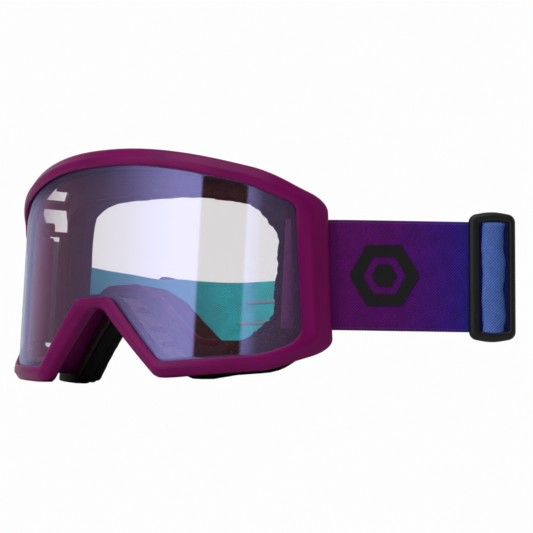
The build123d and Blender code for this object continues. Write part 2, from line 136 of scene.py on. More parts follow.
def softbox(name, azimuth, elevation, distance, width, height, power):
    """A large rectangular light that faces the goggles."""
    data = bpy.data.lights.new(name, "AREA")
    data.shape = "RECTANGLE"
    data.size, data.size_y = width, height
    data.energy = power
    light = bpy.data.objects.new(name, data)
    bpy.context.scene.collection.objects.link(light)
    aim(light, ORIGIN + direction(azimuth, elevation) * distance, ORIGIN)


softbox("top_light", 20.0, 70, 1.5, 1.3, 1.3, 7)

scene = bpy.context.scene
scene.view_settings.view_transform = "Standard"
world = bpy.data.worlds.new("studio")
scene.world = world
world.use_nodes = True
studio = world.node_tree
studio.nodes.clear()


def add_node(tree, kind, values=None, links=None, **settings):
    """One shader node: values for its sockets, links into them, and its settings."""
    made = tree.nodes.new("ShaderNode" + kind)
    for key, value in settings.items():
        setattr(made, key, value)
    for key, value in (values or {}).items():
        made.inputs[key].default_value = value
    for key, source in (links or {}).items():
        tree.links.new(source, made.inputs[key])
    return made


studio_node = partial(add_node, studio)

# Two tall soft panels with a dark gap between them, and a pale wall behind. STUDIO gives the
# brightness at each azimuth, in degrees; the panels fade out above and below.
STUDIO = [(-134, 0.62), (-108, 0.55), (-96, 0.3), (-84, 0.16), (-60, 0.2), (-44, 0.36),
          (-30, 0.75), (-17, 1.35), (-5, 1.85), (5.6, 1.9), (6.4, 0.02), (27.0, 0.02),
          (27.8, 1.15), (31.5, 0.75), (36, 0.3), (60, 0.18), (100, 0.14), (150, 0.5)]
STUDIO_SCALE = 2.0
heading = studio_node("TexCoord").outputs["Generated"]
split = studio_node("SeparateXYZ", links={"Vector": heading})
turned = studio_node("Math", {0: 0.0}, {1: split.outputs["Y"]}, operation="SUBTRACT").outputs[0]
azimuth = studio_node("Math", links={0: split.outputs["X"], 1: turned}, operation="ARCTAN2")
share = studio_node("MapRange", {"From Min": -pi, "From Max": pi}, {"Value": azimuth.outputs[0]})
panels = studio_node("ValToRGB", links={"Fac": share.outputs[0]})
stops = panels.color_ramp.elements
while len(stops) > 1:
    stops.remove(stops[-1])
stops[0].position = 0.0
stops[0].color = (0.6 / STUDIO_SCALE,) * 3 + (1,)
for degrees, level in STUDIO:
    stops.new((degrees + 180) / 360).color = (level / STUDIO_SCALE,) * 3 + (1,)
rise = studio_node("Math", links={0: split.outputs["Z"]}, operation="ARCSINE").outputs[0]
low_fade = studio_node("MapRange", {"From Min": radians(-40), "From Max": radians(0),
                                    "To Min": 0.12}, {"Value": rise}).outputs[0]
high_fade = studio_node("MapRange", {"From Min": radians(40), "From Max": radians(75),
                                     "To Min": 1.0, "To Max": 0.35}, {"Value": rise}).outputs[0]
window = studio_node("Math", links={0: low_fade, 1: high_fade}, operation="MULTIPLY").outputs[0]
strength = studio_node("Math", {1: STUDIO_SCALE}, {0: window}, operation="MULTIPLY").outputs[0]
lit = studio_node("Background", links={"Color": panels.outputs["Color"], "Strength": strength})
white = studio_node("Background", {"Color": (1, 1, 1, 1), "Strength": 0.985})
seen = studio_node("LightPath").outputs["Is Camera Ray"]
mix = studio_node("MixShader", links={0: seen, 1: lit.outputs[0], 2: white.outputs[0]})
studio_node("OutputWorld", links={"Surface": mix.outputs[0]})


# ---- material building blocks ----
class Shader:
    """A node material with one Principled shader at its end."""

    def __init__(self, name, **sockets):
        self.material = bpy.data.materials.new(name)
        self.material.use_nodes = True
        self.tree = self.material.node_tree
        self.tree.nodes.clear()
        self.end = self.tree.nodes.new("ShaderNodeOutputMaterial")
        self.main = self.tree.nodes.new("ShaderNodeBsdfPrincipled")
        self.tree.links.new(self.main.outputs["BSDF"], self.end.inputs["Surface"])
        for socket, value in sockets.items():
            self.main.inputs[socket.replace("_", " ")].default_value = value

    def node(self, kind, values=None, links=None, **settings):
        return add_node(self.tree, kind, values, links, **settings)

    def coordinates(self):
        """Object coordinates in millimetres."""
        metres = self.node("TexCoord").outputs["Object"]
        return self.node("VectorMath", {1: (1000,) * 3}, {0: metres},
                         operation="MULTIPLY").outputs[0]

    def noise(self, vector, scale, detail=3.0, rough=0.55):
        made = self.node("TexNoise", {"Scale": scale, "Detail": detail, "Roughness": rough},
                         {"Vector": vector})
        return made.outputs["Fac"]

    def ramp(self, source, stops):
        made = self.node("ValToRGB", links={"Fac": source})
        elements = made.color_ramp.elements
        elements[0].position, elements[0].color = stops[0][0], (*stops[0][1], 1)
        elements[1].position, elements[1].color = stops[-1][0], (*stops[-1][1], 1)
        for position, colour in stops[1:-1]:
            elements.new(position).color = (*colour, 1)
        return made.outputs["Color"]

    def math(self, operation, first, second=None):
        made = self.node("Math", operation=operation)
        for index, value in enumerate((first, second)):
            if value is None:
                continue
            if isinstance(value, (int, float)):
                made.inputs[index].default_value = value
            else:
                self.tree.links.new(value, made.inputs[index])
        return made.outputs[0]

    def mixed(self, factor, first, second, blend="MIX"):
        """Two colours mixed; each is a socket or an (r, g, b)."""
        made = self.node("Mix", data_type="RGBA", blend_type=blend)
        for index, value in ((0, factor), (6, first), (7, second)):
            if isinstance(value, bpy.types.NodeSocket):
                self.tree.links.new(value, made.inputs[index])
            elif index == 0:
                made.inputs[0].default_value = value
            else:
                made.inputs[index].default_value = (*value, 1)
        return made.outputs[2]

    def into(self, socket, source):
        self.tree.links.new(source, self.main.inputs[socket])

    def bump(self, height, distance):
        made = self.node("Bump", {"Distance": distance * MM, "Strength": 1.0}, {"Height": height})
        self.into("Normal", made.outputs["Normal"])


def frame_plastic(name, dark, light, roughness):
    """Satin translucent moulding: faint clouding, speckle, and a soft glow from inside."""
    s = Shader(name, Subsurface_Weight=0.2, Subsurface_Radius=(1.0, 0.1, 0.6),
               Subsurface_Scale=0.003, IOR=1.49, Specular_IOR_Level=0.18)
    at = s.coordinates()
    cloud = s.noise(at, 0.045, 3)
    speckle = s.noise(at, 2.6, 2, 0.7)
    s.into("Base Color", s.ramp(s.math("ADD", s.math("MULTIPLY", cloud, 0.8),
                                       s.math("MULTIPLY", speckle, 0.2)),
                                [(0.3, dark), (0.7, light)]))
    s.into("Roughness", s.math("ADD", s.math("MULTIPLY", speckle, 0.16), roughness - 0.08))
    s.bump(s.math("ADD", s.noise(at, 1.4, 4, 0.6), s.math("MULTIPLY", speckle, 0.5)), 0.035)
    return s.material


def foam(name, dark, light, cell, depth):
    """Open-cell foam or fleece: fine cells over a slow unevenness."""
    s = Shader(name, Roughness=0.95, Specular_IOR_Level=0.15)
    at = s.coordinates()
    cells = s.node("TexVoronoi", {"Scale": 1.0 / cell, "Randomness": 1.0}, {"Vector": at})
    grain = s.noise(at, 1.8 / cell, 3, 0.7)
    height = s.math("ADD", s.math("MULTIPLY", cells.outputs["Distance"], 0.9), grain)
    s.into("Base Color", s.ramp(s.math("MULTIPLY", height, 0.75), [(0.25, dark), (0.85, light)]))
    s.bump(height, depth)
    return s.material


def lens_material(name, colour, alpha, metallic=1.0, roughness=0.015):
    """Clear sheet with a coating: see-through in front, more of a mirror at a low angle."""
    s = Shader(name, Base_Color=(*colour, 1), Metallic=metallic, Roughness=roughness)
    facing = s.node("LayerWeight", {"Blend": 0.5}).outputs["Facing"]
    s.into("Alpha", s.math("ADD", s.math("MULTIPLY", s.math("POWER", facing, 4.5),
                                         1.0 - alpha), alpha))
    return s.material


# The rolls round the posts are painted light. The first stops of STRAP_INSIDE (the right roll) and
# the last stop of STRAP_OUTSIDE (the left roll) make the magenta there far lighter than the band
# beside them, standing in for light that the rolls lack in the frame's shade.
STRAP_OUTSIDE = [(0.0, (0.17, 0.004, 0.19)), (0.04, (0.15, 0.0, 0.155)),
                 (0.1, (0.115, 0.0, 0.17)), (0.125, (0.085, 0.002, 0.21)),
                 (0.15, (0.045, 0.006, 0.27)), (0.17, (0.016, 0.02, 0.31)),
                 (0.2, (0.01, 0.03, 0.22)), (0.62, (0.01, 0.04, 0.2)),
                 (0.78, (0.03, 0.01, 0.19)), (0.9, (0.09, 0.002, 0.12)),
                 (0.96, (0.16, 0.006, 0.19)), (0.975, (0.45, 0.06, 0.5))]
STRAP_INSIDE = [(0.0, (0.62, 0.12, 0.7)), (0.026, (0.55, 0.1, 0.62)), (0.045, (0.1, 0.002, 0.12)),
                (0.3, (0.0, 0.8, 0.8)), (0.66, (0.0, 0.78, 0.8)),
                (0.8, (0.0, 0.45, 0.6)), (0.92, (0.0, 0.3, 0.45)), (0.96, (0.1, 0.002, 0.12))]
COLOUR_LENGTH = 500.0     # millimetres of webbing from share 0 to share 1 of those colours
# Across the loop the colour runs from lighter at one edge to darker at the edge that dips into the
# slider's gap: painted shade over the loop's real blue.
LOOP_COLOURS = [(0.0, (0.12, 0.22, 0.68)), (1.0, (0.06, 0.15, 0.5))]


def webbing_material(name, outside, inside, length, around=False):
    """Twill elastic. Its colour runs along the band, or round the loop where around is set."""
    s = Shader(name, Roughness=0.65, Specular_IOR_Level=0.2, Sheen_Weight=0.04,
               Sheen_Roughness=0.4)
    cloth = s.node("Attribute", attribute_name="cloth").outputs["Vector"]
    split = s.node("SeparateXYZ", links={"Vector": cloth})
    along, across, side = split.outputs[0], split.outputs[1], split.outputs[2]
    if around:
        base = s.ramp(side, outside)
    else:
        share = s.math("DIVIDE", along, length)
        base = s.mixed(s.math("ADD", s.math("MULTIPLY", side, 0.5), 0.5),
                       s.ramp(share, inside), s.ramp(share, outside))
    flat = s.node("VectorMath", {1: (1.0, 1.0, 0.0)}, {0: cloth}, operation="MULTIPLY").outputs[0]
    grain = s.noise(flat, 1.3, 3, 0.75)
    slow = s.noise(flat, 0.16, 2)
    slant = s.math("ADD", s.math("SUBTRACT", across, along), s.math("MULTIPLY", grain, 0.9))
    rib = s.math("SINE", s.math("MULTIPLY", slant, 2 * pi / 1.15))
    cross = s.math("SINE", s.math("MULTIPLY", s.math("ADD", across, along), 2 * pi / 0.58))
    weave = s.math("ADD", s.math("MULTIPLY", rib, 0.3), s.math("MULTIPLY", cross, 0.1))
    weave = s.math("ADD", weave, grain)
    tone = s.ramp(s.math("ADD", s.math("MULTIPLY", weave, 0.62), s.math("MULTIPLY", slow, 0.3)),
                  [(0.1, (0.5,) * 3), (0.5, (0.95,) * 3), (0.85, (1.9,) * 3)])
    # Light specks on the rib crests are painted highlights: glints of the weave put into the base
    # colour. The edge stitching shares their lighter colour and is real.
    painted_glint = s.math("MULTIPLY", s.math("GREATER_THAN", s.math(
        "MULTIPLY", s.math("ADD", rib, 1.2), s.noise(flat, 2.6, 2, 0.8)), 1.34), 0.35)
    edge = s.math("COMPARE", s.math("ABSOLUTE", across), STRAP_WIDTH / 2 - 1.0)
    edge.node.inputs[2].default_value = 0.22
    dash = s.math("GREATER_THAN", s.math("SINE", s.math("MULTIPLY", along, 2 * pi / 1.1)), 0.0)
    stitch = s.math("MULTIPLY", edge, dash)
    toned = s.mixed(1.0, base, tone, "MULTIPLY")
    light = s.mixed(1.0, base, (0.16, 0.1, 0.16), "ADD")
    marked = s.mixed(s.math("MAXIMUM", painted_glint, s.math("MULTIPLY", stitch, 0.35)), toned, light)
    s.into("Base Color", marked)
    s.bump(s.math("ADD", weave, s.math("MULTIPLY", stitch, 0.5)), 0.1)
    return s.material


def satin_black(name):
    s = Shader(name, Specular_IOR_Level=0.4)
    at = s.coordinates()
    grain = s.noise(at, 3.5, 3, 0.6)
    s.into("Roughness", s.math("ADD", s.math("MULTIPLY", grain, 0.22), 0.3))
    s.into("Base Color", s.ramp(s.noise(at, 0.12), [(0.3, (0.003,) * 3), (0.75, (0.007,) * 3)]))
    s.bump(grain, 0.02)
    return s.material


def leather(name, dark, light):
    s = Shader(name, Roughness=0.55, Specular_IOR_Level=0.35)
    at = s.coordinates()
    cells = s.node("TexVoronoi", {"Scale": 0.75, "Randomness": 0.9}, {"Vector": at},
                   feature="DISTANCE_TO_EDGE")
    crease = s.ramp(cells.outputs["Distance"], [(0.0, (0.0,) * 3), (0.3, (1.0,) * 3)])
    s.into("Base Color", s.mixed(crease, dark, light))
    s.bump(crease, 0.2)
    return s.material


def rubber(name, colour, roughness):
    s = Shader(name, Roughness=roughness, Specular_IOR_Level=0.35)
    at = s.coordinates()
    grain = s.noise(at, 2.0, 3, 0.6)
    darker = tuple(c * 0.75 for c in colour)
    s.into("Base Color", s.ramp(grain, [(0.3, darker), (0.7, colour)]))
    s.bump(grain, 0.03)
    return s.material


BEZEL = frame_plastic("magenta_frame", (0.19, 0.0, 0.098), (0.28, 0.001, 0.145), 0.34)
INNER = frame_plastic("magenta_inner", (0.12, 0.001, 0.07), (0.18, 0.003, 0.105), 0.4)
# The flange is magenta plastic with a leather-like grain. Its near-black colour here is painted
# shade, standing in for the shade inside the goggles; the grain is real.
PAINTED_SHADE_FLANGE = leather("flange_grain_painted_shade", (0.012, 0.004, 0.006), (0.05, 0.014, 0.026))
FOAM = foam("black_foam", (0.002, 0.0015, 0.002), (0.016, 0.013, 0.014), 0.55, 0.35)
FLEECE = foam("black_fleece", (0.005, 0.005, 0.006), (0.022, 0.022, 0.024), 0.3, 0.25)
VENT_FOAM = foam("brown_foam", (0.010, 0.003, 0.003), (0.055, 0.02, 0.018), 1.1, 0.5)
OUTER_LENS = lens_material("mirror_lens", (0.40, 0.40, 0.97), 0.134)
INNER_LENS = lens_material("clear_lens", (1.0, 0.35, 0.3), 0.05, 0.0, 0.05)
GASKET = rubber("gasket_rubber", (0.10, 0.02, 0.03), 0.6)
WEBBING = webbing_material("twill_webbing", STRAP_OUTSIDE, STRAP_INSIDE, COLOUR_LENGTH)
LOOP = webbing_material("loop_webbing", LOOP_COLOURS, LOOP_COLOURS, 1.0, around=True)
SLIDER_BLACK = satin_black("slider_black")
BADGE = rubber("badge_print", (0.006, 0.006, 0.006), 0.55)
GRIP = rubber("grip_silicone", (0.30, 0.55, 0.58), 0.35)
NOSE = leather("nose_leather", (0.05, 0.02, 0.04), (0.1, 0.05, 0.08))
# The nose arch's leather is painted light: a pale pink much lighter than the real sheet, standing
# in for light that hardly reaches it inside the goggles. Its grain is real.
PAINTED_LIGHT_ARCH = leather("arch_leather_painted_light", (0.45, 0.34, 0.45), (0.85, 0.7, 0.85))


# ---- mesh building blocks ----
def rounded(corners, arc_steps=10, line_steps=8, closed=True):
    """Points round an outline whose corners (x, y, radius) are rounded."""
    count = len(corners)
    points = []
    for i in range(count):
        x, y, radius = corners[i]
        here = Vector((x, y))
        if not closed and i in (0, count - 1):
            points.append(here)
            continue
        before = Vector(corners[i - 1][:2])
        after = Vector(corners[(i + 1) % count][:2])
        inward, outward = (here - before).normalized(), (after - here).normalized()
        turn = inward.angle_signed(outward)
        reach = radius * tan(abs(turn) / 2)
        start = here - inward * reach
        sideways = Vector((-inward.y, inward.x)) * (-1 if turn > 0 else 1)
        centre = start + sideways * radius
        for k in range(arc_steps + 1):
            angle = -turn * k / arc_steps
            offset = start - centre
            offset = Vector((offset.x * cos(angle) - offset.y * sin(angle),
                             offset.x * sin(angle) + offset.y * cos(angle)))
            points.append(centre + offset)
    dense = []
    stop = len(points) if closed else len(points) - 1
    for i in range(stop):
        a, b = points[i], points[(i + 1) % len(points)]
        is_line = (i % (arc_steps + 1) == arc_steps) if closed else True
        steps = line_steps if is_line else 1
        dense += [a.lerp(b, k / steps) for k in range(steps)]
    return dense if closed else dense + [points[-1]]


def whole_outline(half):
    """A right half outline and its mirror image as one closed outline."""
    return half + [(-x, z, radius) for x, z, radius in reversed(half)]


TEMPLE_SHARE = 1 - TEMPLE_RADIUS / LENS_RADIUS
TEMPLE_CENTRE = (TEMPLE_START * TEMPLE_SHARE,
                 LENS_RADIUS - sqrt(LENS_RADIUS**2 - TEMPLE_START**2) * TEMPLE_SHARE)


def lens_y(x, grow):
    """The lens curve's y, grown forwards."""
    width, (centre_x, centre_y) = abs(x), TEMPLE_CENTRE
    if width <= TEMPLE_START * (1 + grow / LENS_RADIUS):
        return LENS_RADIUS - sqrt((LENS_RADIUS + grow)**2 - width**2)
    return centre_y - sqrt(max((TEMPLE_RADIUS + grow)**2 - (width - centre_x)**2, 0.0))


def lens_plan(x, proud):
    """A plan point at a height above the lens surface, square to it, at half-width x."""
    side = -1 if x < 0 else 1
    centre, radius = TEMPLE_CENTRE, TEMPLE_RADIUS
    if abs(x) <= TEMPLE_START:
        centre, radius = (0.0, LENS_RADIUS), LENS_RADIUS
    angle = asin((abs(x) - centre[0]) / radius)
    return (side * (centre[0] + (radius + proud) * sin(angle)),
            centre[1] - (radius + proud) * cos(angle))


def face_y(x, front):
    return front + FACE_RADIUS - sqrt(FACE_RADIUS**2 - x**2)


def face_plan(x, front):
    return x, face_y(x, front)


def depth_column(p, lens_gap, face_front, steps=12):
    """Points from behind the lens back to the face curve, at one place of an outline."""
    front, rear = lens_y(p.x, -lens_gap), face_y(p.x, face_front)
    return [(p.x, front + (rear - front) * k / steps + p.y * LEAN, p.y) for k in range(steps + 1)]


def mesh_object(name, vertices, faces, material):
    """A new smooth-shaded mesh object, from design millimetres."""
    mesh = bpy.data.meshes.new(name)
    mesh.from_pydata(place(vertices), [], faces)
    mesh.materials.append(material)
    mesh.polygons.foreach_set("use_smooth", [True] * len(mesh.polygons))
    mesh.update()
    made = bpy.data.objects.new(name, mesh)
    bpy.context.scene.collection.objects.link(made)
    return made


def skin(rings, close_rings=True, close_sections=True):
    """Quads between neighbouring rings of the same number of points."""
    count, size = len(rings), len(rings[0])
    faces = []
    for i in range(count if close_rings else count - 1):
        for j in range(size if close_sections else size - 1):
            a, b = i * size + j, i * size + (j + 1) % size
            c, d = ((i + 1) % count) * size + (j + 1) % size, ((i + 1) % count) * size + j
            faces.append((a, b, c, d))
    return faces


def capped(rings):
    """Quads along a row of closed rings, with a cap on each end."""
    size = len(rings[0])
    last = (len(rings) - 1) * size
    return skin(rings, close_rings=False) + [tuple(range(size))[::-1],
                                             tuple(last + k for k in range(size))]


def sheet(rings):
    """Quads between open rows of points."""
    return skin(rings, close_rings=False, close_sections=False)


def from_rings(name, rings, material, faces=skin):
    """A mesh object from rings of points and the function that joins them."""
    return mesh_object(name, [p for ring in rings for p in ring], faces(rings), material)


def ring_piece(name, inner, outer, section, plan, material):
    """A closed ring: at each station a section point is (share from inner to outer, depth)."""
    rings = []
    for near, far in zip(inner, outer):
        ring = []
        for share, depth in section:
            p = near.lerp(far, share)
            x, y = plan(p.x, depth)
            ring.append((x, y + p.y * LEAN, p.y))
        rings.append(ring)
    return from_rings(name, rings, material)


def denser(points, closed=True):
    """Three points in place of each one of an outline."""
    following = points[1:] + points[:1] if closed else points[1:]
    return [here.lerp(after, k / 3) for here, after in zip(points, following) for k in range(3)]


def store_cloth(piece, cloth):
    """Keep each vertex's place on the webbing, which colours it: (along, across, side)."""
    attribute = piece.data.attributes.new("cloth", "FLOAT_VECTOR", "POINT")
    attribute.data.foreach_set("vector", np.array(cloth, np.float32).ravel())


def thickened(piece, thickness):
    """Give a sheet its thickness, half on each side."""
    shell = piece.modifiers.new("thick", "SOLIDIFY")
    shell.thickness, shell.offset = thickness * MM, 0.0


def finish_piece(piece, body, slot_name, *nodes):
    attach(piece, body)
    if nodes:
        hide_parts(*nodes)


def smooth(value, start, end):
    t = min(max((value - start) / (end - start), 0.0), 1.0)
    return t * t * (3 - 2 * t)


# ---- outer frame ----
# Across the bezel from the lens opening to the rim: share of the width and height above the lens
# surface. The front face ends in a crease where the side face begins.
BEZEL_FACE = [(0.0, 0.1), (0.0, 0.75), (0.015, 1.1), (0.05, 1.38), (0.12, 1.58), (0.25, 1.72),
              (0.38, 1.78), (0.48, 1.74), (0.53, 1.6), (0.58, 1.35), (0.66, 0.95), (0.76, 0.5),
              (0.86, 0.05), (0.94, -0.42), (0.985, -0.95), (1.0, -1.6)]
BEZEL_BACK = [(1.0, -2.6), (1.0, -3.6), (1.0, -4.4), (0.985, -4.9), (0.94, -5.2), (0.8, -5.35),
              (0.55, -5.35), (0.48, -5.0), (0.46, -4.2), (0.46, -2.4), (0.46, 0.1), (0.22, 0.1)]
FLUSH_SHARE = 0.5        # the side posts are flush with the lens up to this share of their width
SIDE_FLARE = 0.5         # how far the rim stands out further beside the face
opening_line = rounded(whole_outline(OPENING))
outer_line = rounded(whole_outline(OUTER))
rings = []
for near, far in zip(opening_line, outer_line):
    flush = smooth(abs(near.x), 70, 76) * smooth(near.y, -30, -24) * (1 - smooth(near.y, 13, 20))
    far = Vector((far.x * (1 + SIDE_FLARE / 86 * smooth(abs(far.x), 70, 84)), far.y))
    ring = []
    for share, proud in BEZEL_FACE + BEZEL_BACK:
        if proud > 0.1 and share < FLUSH_SHARE:
            proud = 0.1 + (proud - 0.1) * (1 - flush * (1 - (share / FLUSH_SHARE) ** 2) * 0.93)
        elif proud > 0.1:
            proud *= 1 - 0.25 * flush
        p = near.lerp(far, share)
        x, y = lens_plan(p.x, proud)
        ring.append((x, y + p.y * LEAN, max(p.y, REST_LEVEL)))
    rings.append(ring)
bezel = from_rings("outer_frame_moulding", rings, BEZEL)
finish_piece(bezel, "frame", "frame_plastic", "outer_frame")


# ---- lenses ----
def moved_out(outline, amount):
    """A closed dense outline moved outwards by an amount."""
    count = len(outline)
    moved = []
    for i in range(count):
        heading = outline[(i + 1) % count] - outline[i - 1]
        moved.append(outline[i] + Vector((-heading.y, heading.x)).normalized() * amount)
    return moved


def height_range(outline, x):
    """The lowest and highest z where a closed outline crosses x."""
    found = []
    for i in range(len(outline)):
        a, b = outline[i], outline[(i + 1) % len(outline)]
        if (a.x - x) * (b.x - x) <= 0 and a.x != b.x:
            found.append(a.y + (b.y - a.y) * (x - a.x) / (b.x - a.x))
    return min(found), max(found)


def lens_piece(name, outline, front, thickness, material):
    """A curved sheet cut to an outline: columns across the width, rows up the height."""
    edge = max(p.x for p in outline) - 0.02
    columns = [edge * sin(pi / 2 * k / 46) for k in range(-46, 47)]
    rows = 22
    vertices = []
    for depth in (front, front - thickness):
        for x in columns:
            low, high = height_range(outline, x)
            for k in range(rows + 1):
                z = low + (high - low) * k / rows
                vertices.append((x, lens_y(x, depth) + z * LEAN, z))
    size, count = rows + 1, len(columns)
    half = size * count
    faces = []
    for i in range(count - 1):
        for k in range(rows):
            a = i * size + k
            faces.append((a, a + size, a + size + 1, a + 1))
            faces.append((half + a, half + a + 1, half + a + size + 1, half + a + size))
        for k in (0, rows):
            a = i * size + k
            faces.append((a, a + half, a + half + size, a + size) if k == 0 else
                         (a, a + size, a + half + size, a + half))
    for i in (0, count - 1):
        for k in range(rows):
            a = i * size + k
            faces.append((a, a + 1, a + half + 1, a + half) if i == 0 else
                         (a, a + half, a + half + 1, a + 1))
    return mesh_object(name, vertices, faces, material)


outer_lens = lens_piece("outer_lens_sheet", moved_out(opening_line, 2.4), 0.0, 1.0, OUTER_LENS)
finish_piece(outer_lens, "frame", "outer_lens", "lens_outer")
inner_lens = lens_piece("inner_lens_sheet", moved_out(opening_line, 0.6), -3.0, 0.7, INNER_LENS)
finish_piece(inner_lens, "frame", "inner_lens", "lens_inner")


# ---- inner frame: shoulder behind the lens, wall with vents, flange, nose arch ----
def landmarks_between(outline, marks, counts):
    """Points along a closed outline: counts[i] of them from marks[i] towards the next mark."""
    flat = np.array([(p.x, p.y) for p in outline])
    flat = np.vstack([flat, flat[:1]])
    lengths = np.r_[0, np.cumsum(np.hypot(*np.diff(flat, axis=0).T))]
    total = lengths[-1]
    at = [lengths[np.argmin(np.hypot(*(flat[:-1] - np.array(mark)).T))] for mark in marks]
    points = []
    for i, count in enumerate(counts):
        start, stop = at[i], at[(i + 1) % len(at)]
        if stop <= start:
            stop += total
        for k in range(count):
            d = (start + (stop - start) * k / count) % total
            points.append(Vector((np.interp(d, lengths, flat[:, 0]),
                                  np.interp(d, lengths, flat[:, 1]))))
    return points


def mirrored(marks):
    """Right-hand marks from the top middle down, then the left-hand ones back up."""
    return marks + [(-x, z) for x, z in reversed(marks) if x]


RING_COUNTS = [34, 14, 12, 20, 12, 26, 26, 12, 20, 12, 14, 34]
FOAM_MARKS = [(0, 47), (56, 38.3), (67.5, 25.5), (68, -26), (56, -40.6), (33, -44.6), (0, -12)]
FACE_MARKS = [(0, 47), (60, 37.8), (71.4, 27), (72, -33), (63, -42), (33, -44.6), (0, -12)]
WALL_MARKS = [(0, 44), (58, 36.2), (73.6, 25.5), (74, -31), (67, -38.4), (33, -40), (0, -9)]
WINDOW_MARKS = [(0, 32), (50, 27), (60, 18), (62, -20), (54, -29), (37, -28.5), (0, -5.5)]


def matched_ring(line, marks):
    """Points round an outline that match the other outlines' points, mark by mark."""
    return landmarks_between(rounded(whole_outline(line)), mirrored(marks), RING_COUNTS)


face_ring = matched_ring(FACE_LINE, FACE_MARKS)
wall_ring = matched_ring(WALL_LINE, WALL_MARKS)
window_ring = matched_ring(WINDOW, WINDOW_MARKS)
foam_ring = matched_ring(FOAM_WINDOW, WINDOW_MARKS)
foam_rim = matched_ring(FOAM_LINE, FOAM_MARKS)

FLANGE = [(0.0, 17.3), (0.012, 17.05), (0.04, 16.95), (0.96, 16.95), (0.99, 17.1), (1.0, 17.4),
          (1.0, 18.7), (0.98, 18.95), (0.03, 18.95), (0.0, 18.7)]
# The flange's dark colour is painted shade over its real grain.
flange = ring_piece("face_flange", window_ring, moved_out(face_ring, -0.6), FLANGE, face_plan,
                    PAINTED_SHADE_FLANGE)
finish_piece(flange, "frame", "frame_plastic", "inner_frame")

# The shoulder that the lenses rest on, just inside the lens opening.
SHOULDER = [(0.0, -4.1), (0.06, -3.85), (0.5, -3.85), (1.0, -3.85), (1.0, -5.7), (0.5, -5.8),
            (0.08, -5.8), (0.0, -5.5)]
shoulder = ring_piece("lens_shoulder", moved_out(opening_line, -0.9),
                      moved_out(opening_line, 2.3), SHOULDER, lens_plan, INNER)
finish_piece(shoulder, "frame", "frame_plastic", "inner_frame")

# Round bosses that hold the ends of the strap posts: (radius, rise) up each one.
BOSS_RINGS = [(2.6, 0.0), (3.2, 0.3), (3.4, 0.9), (3.4, 3.8), (3.2, 4.4), (2.6, 4.8)]
BOSS_LEVELS, BOSS_STEPS = {"u": 21.0, "d": -31.6}, 20
for side, side_letter in ((-1, "l"), (1, "r")):
    for level_letter, low in BOSS_LEVELS.items():
        rings = [[(side * POST.x + radius * cos(2 * pi * j / BOSS_STEPS),
                   POST.y + radius * sin(2 * pi * j / BOSS_STEPS) + (low + rise) * LEAN,
                   low + rise) for j in range(BOSS_STEPS)] for radius, rise in BOSS_RINGS]
        boss = from_rings(f"post_boss_{side_letter}_{level_letter}", rings, INNER, capped)
        finish_piece(boss, "frame", "frame_plastic", "inner_frame")

WALL_ROWS = 12
SLOT_LOW, SLOT_HIGH, SLOT_HALF_DEPTH = -26.8, 20.4, 8.5     # the strap's slot beside each post
# The other openings, the same on both sides: half-width range, height range and depth range,
# the last as shares of the way from the lens to the face.
OPENINGS = [(5.5, 20.5, 38, 60, 0.25, 0.8), (25.5, 40.5, 38, 60, 0.25, 0.8),
            (44.0, 61.5, 33.8, 60, 0.04, 0.86), (62.5, 90, 22.6, 32.6, 0.12, 0.95),
            (65.0, 90, -35.4, -28.2, 0.12, 0.92), (40.0, 52, -60, -36, 0.25, 0.8)]


def in_vent(x, z, y, t):
    """Whether a point of the wall lies in one of its openings."""
    width = abs(x)
    if SLOT_LOW < z < SLOT_HIGH and width > 68:
        return abs(y - z * LEAN - POST.y - 0.4) < SLOT_HALF_DEPTH
    return any(a < width < b and c < z < d and e < t < f for a, b, c, d, e, f in OPENINGS)


wall_line = moved_out(wall_ring, -1.1)
fine = []
for i, here in enumerate(wall_line):
    after = wall_line[(i + 1) % len(wall_line)]
    steps = max(1, int((after - here).length / 1.1))
    fine += [here.lerp(after, k / steps) for k in range(steps)]
columns = [depth_column(p, 5.0, 17.2, WALL_ROWS) for p in fine]
size = WALL_ROWS + 1
faces = []
for i in range(len(fine)):
    j = (i + 1) % len(fine)
    for k in range(WALL_ROWS):
        middle = [(columns[i][k][a] + columns[j][k + 1][a]) / 2 for a in range(3)]
        if not in_vent(middle[0], middle[2], middle[1], (k + 0.5) / WALL_ROWS):
            faces.append((i * size + k, j * size + k, j * size + k + 1, i * size + k + 1))
wall = mesh_object("frame_wall", [p for column in columns for p in column], faces, INNER)
mesh = bmesh.new()
mesh.from_mesh(wall.data)
bmesh.ops.delete(mesh, geom=[v for v in mesh.verts if not v.link_faces], context="VERTS")
mesh.to_mesh(wall.data)
mesh.free()
thickened(wall, 2.0)
soft = wall.modifiers.new("soft", "BEVEL")
soft.width, soft.segments, soft.angle_limit = 0.55 * MM, 3, radians(40)
finish_piece(wall, "frame", "frame_plastic", "inner_frame")


def tube(name, path, across, along_axis, material, steps=12):
    """A rounded bar on a path of points: across and along_axis are its half sizes."""
    rings = []
    count = len(path)
    for i, p in enumerate(path):
        p = Vector(p)
        heading = (Vector(path[min(i + 1, count - 1)]) - Vector(path[max(i - 1, 0)])).normalized()
        side = heading.cross(Vector((0, 1, 0))).normalized()
        out = side.cross(heading)
        ends = min(1.0, 0.35 + 0.65 * min(i, count - 1 - i) / 2)
        rings.append([tuple(p + side * across * ends * cos(2 * pi * k / steps)
                            + out * along_axis * ends * sin(2 * pi * k / steps))
                      for k in range(steps)])
    return from_rings(name, rings, material, capped)


